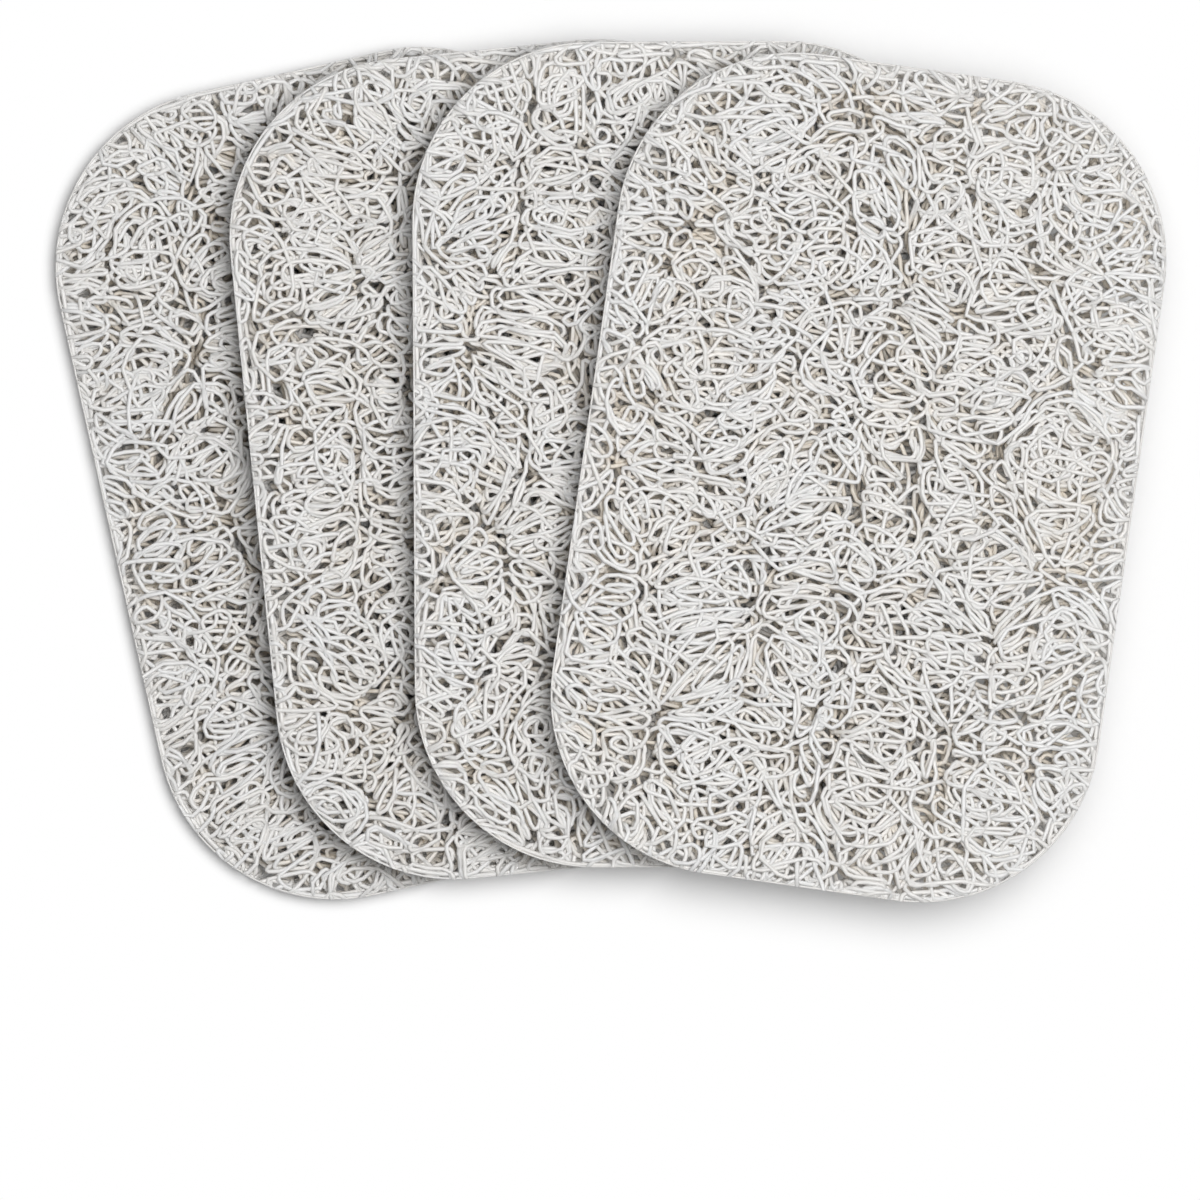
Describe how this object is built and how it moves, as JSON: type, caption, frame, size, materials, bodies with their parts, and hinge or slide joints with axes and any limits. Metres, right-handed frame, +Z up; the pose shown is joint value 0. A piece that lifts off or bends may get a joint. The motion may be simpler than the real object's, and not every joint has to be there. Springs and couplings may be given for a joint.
{
  "type": "soap saver pad set",
  "caption": "Flat rounded pads of looped plastic filament mat that hold a bar of soap up so it drains and dries, laid out in a fan; each pad lifts off the one below.",
  "frame": {"origin": "centre of the set's bounding box, at the underside of the lowest pad, on the surface that the set lies on", "axes": "+Z up, out of the pads' broad faces; +X along the fan from the lowest pad to the highest; +Y roughly along the pads' long sides"},
  "size_m": [0.1616, 0.1256, 0.04],
  "materials": {
    "loop_mat": "off-white soft PVC filament, semi-matte, bonded where the loops cross"
  },
  "bodies": {
    "pad_1": {"pad_1": "loop_mat"},
    "pad_2": {"pad_2": "loop_mat"},
    "pad_3": {"pad_3": "loop_mat"},
    "pad_4": {"pad_4": "loop_mat"}
  },
  "joints": [
    {"name": "pad_2_lift", "type": "slide", "parent": "pad_1", "child": "pad_2", "axis": [0, 0, 1], "range_m": [0, 0.04]},
    {"name": "pad_3_lift", "type": "slide", "parent": "pad_2", "child": "pad_3", "axis": [0, 0, 1], "range_m": [0, 0.04]},
    {"name": "pad_4_lift", "type": "slide", "parent": "pad_3", "child": "pad_4", "axis": [0, 0, 1], "range_m": [0, 0.04]}
  ]
}
